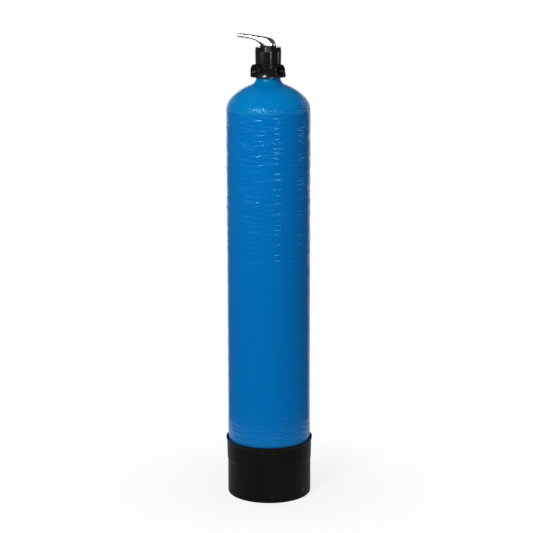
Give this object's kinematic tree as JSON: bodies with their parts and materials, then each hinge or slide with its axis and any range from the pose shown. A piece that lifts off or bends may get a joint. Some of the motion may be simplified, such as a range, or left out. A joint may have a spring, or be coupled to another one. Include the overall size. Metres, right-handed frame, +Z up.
{
  "type": "whole house water filter",
  "caption": "Tall wound pressure tank in a moulded cup base, with a three-position lever valve and three threaded side ports on its neck.",
  "frame": {"origin": "on the floor, under the middle of the tank", "axes": "+Z up along the tank's axis, -Y towards the viewer of the picture, the lever points to -X"},
  "size_m": [0.323, 0.3228, 1.7332],
  "materials": {
    "tank_blue": "gloss gel coat over wound glass fibre",
    "boot_black": "satin moulded polyethylene",
    "valve_black": "satin moulded plastic",
    "lever_chrome": "polished",
    "liner_white": "moulded polyethylene",
    "pipe_white": "extruded plastic",
    "distributor_black": "moulded plastic",
    "ceramic": "lapped",
    "nylon_white": "machined",
    "seal_rubber": "smooth",
    "screw_steel": "black oxide",
    "gravel": "loose rounded stones",
    "carbon": "loose granules"
  },
  "bodies": {
    "vessel": {"boot": "boot_black", "tank_shell": "tank_blue", "tank_liner": "liner_white", "neck_insert": "liner_white", "neck_oring": "seal_rubber", "riser_tube": "pipe_white", "riser_oring": "seal_rubber", "top_distributor": "distributor_black", "distributor_hub": "distributor_black", "distributor_basket": "distributor_black", "gravel_bed": "gravel", "filter_media": "carbon", "valve_body": "valve_black", "disc_gasket": "seal_rubber", "fixed_disc": "ceramic", "friction_washer": "nylon_white", "retaining_nut": "valve_black", "nut_oring": "seal_rubber", "dial_cap": "valve_black"},
    "selector": {"lever_handle": "lever_chrome", "grub_screw": "screw_steel", "stem": "nylon_white", "stem_orings": "seal_rubber", "moving_disc": "ceramic"}
  },
  "joints": [
    {"name": "selector_turn", "type": "hinge", "parent": "vessel", "child": "selector", "pos_m": [0, 0, 1.689], "axis": [0, 0, 1], "range_deg": [0, 180]}
  ]
}
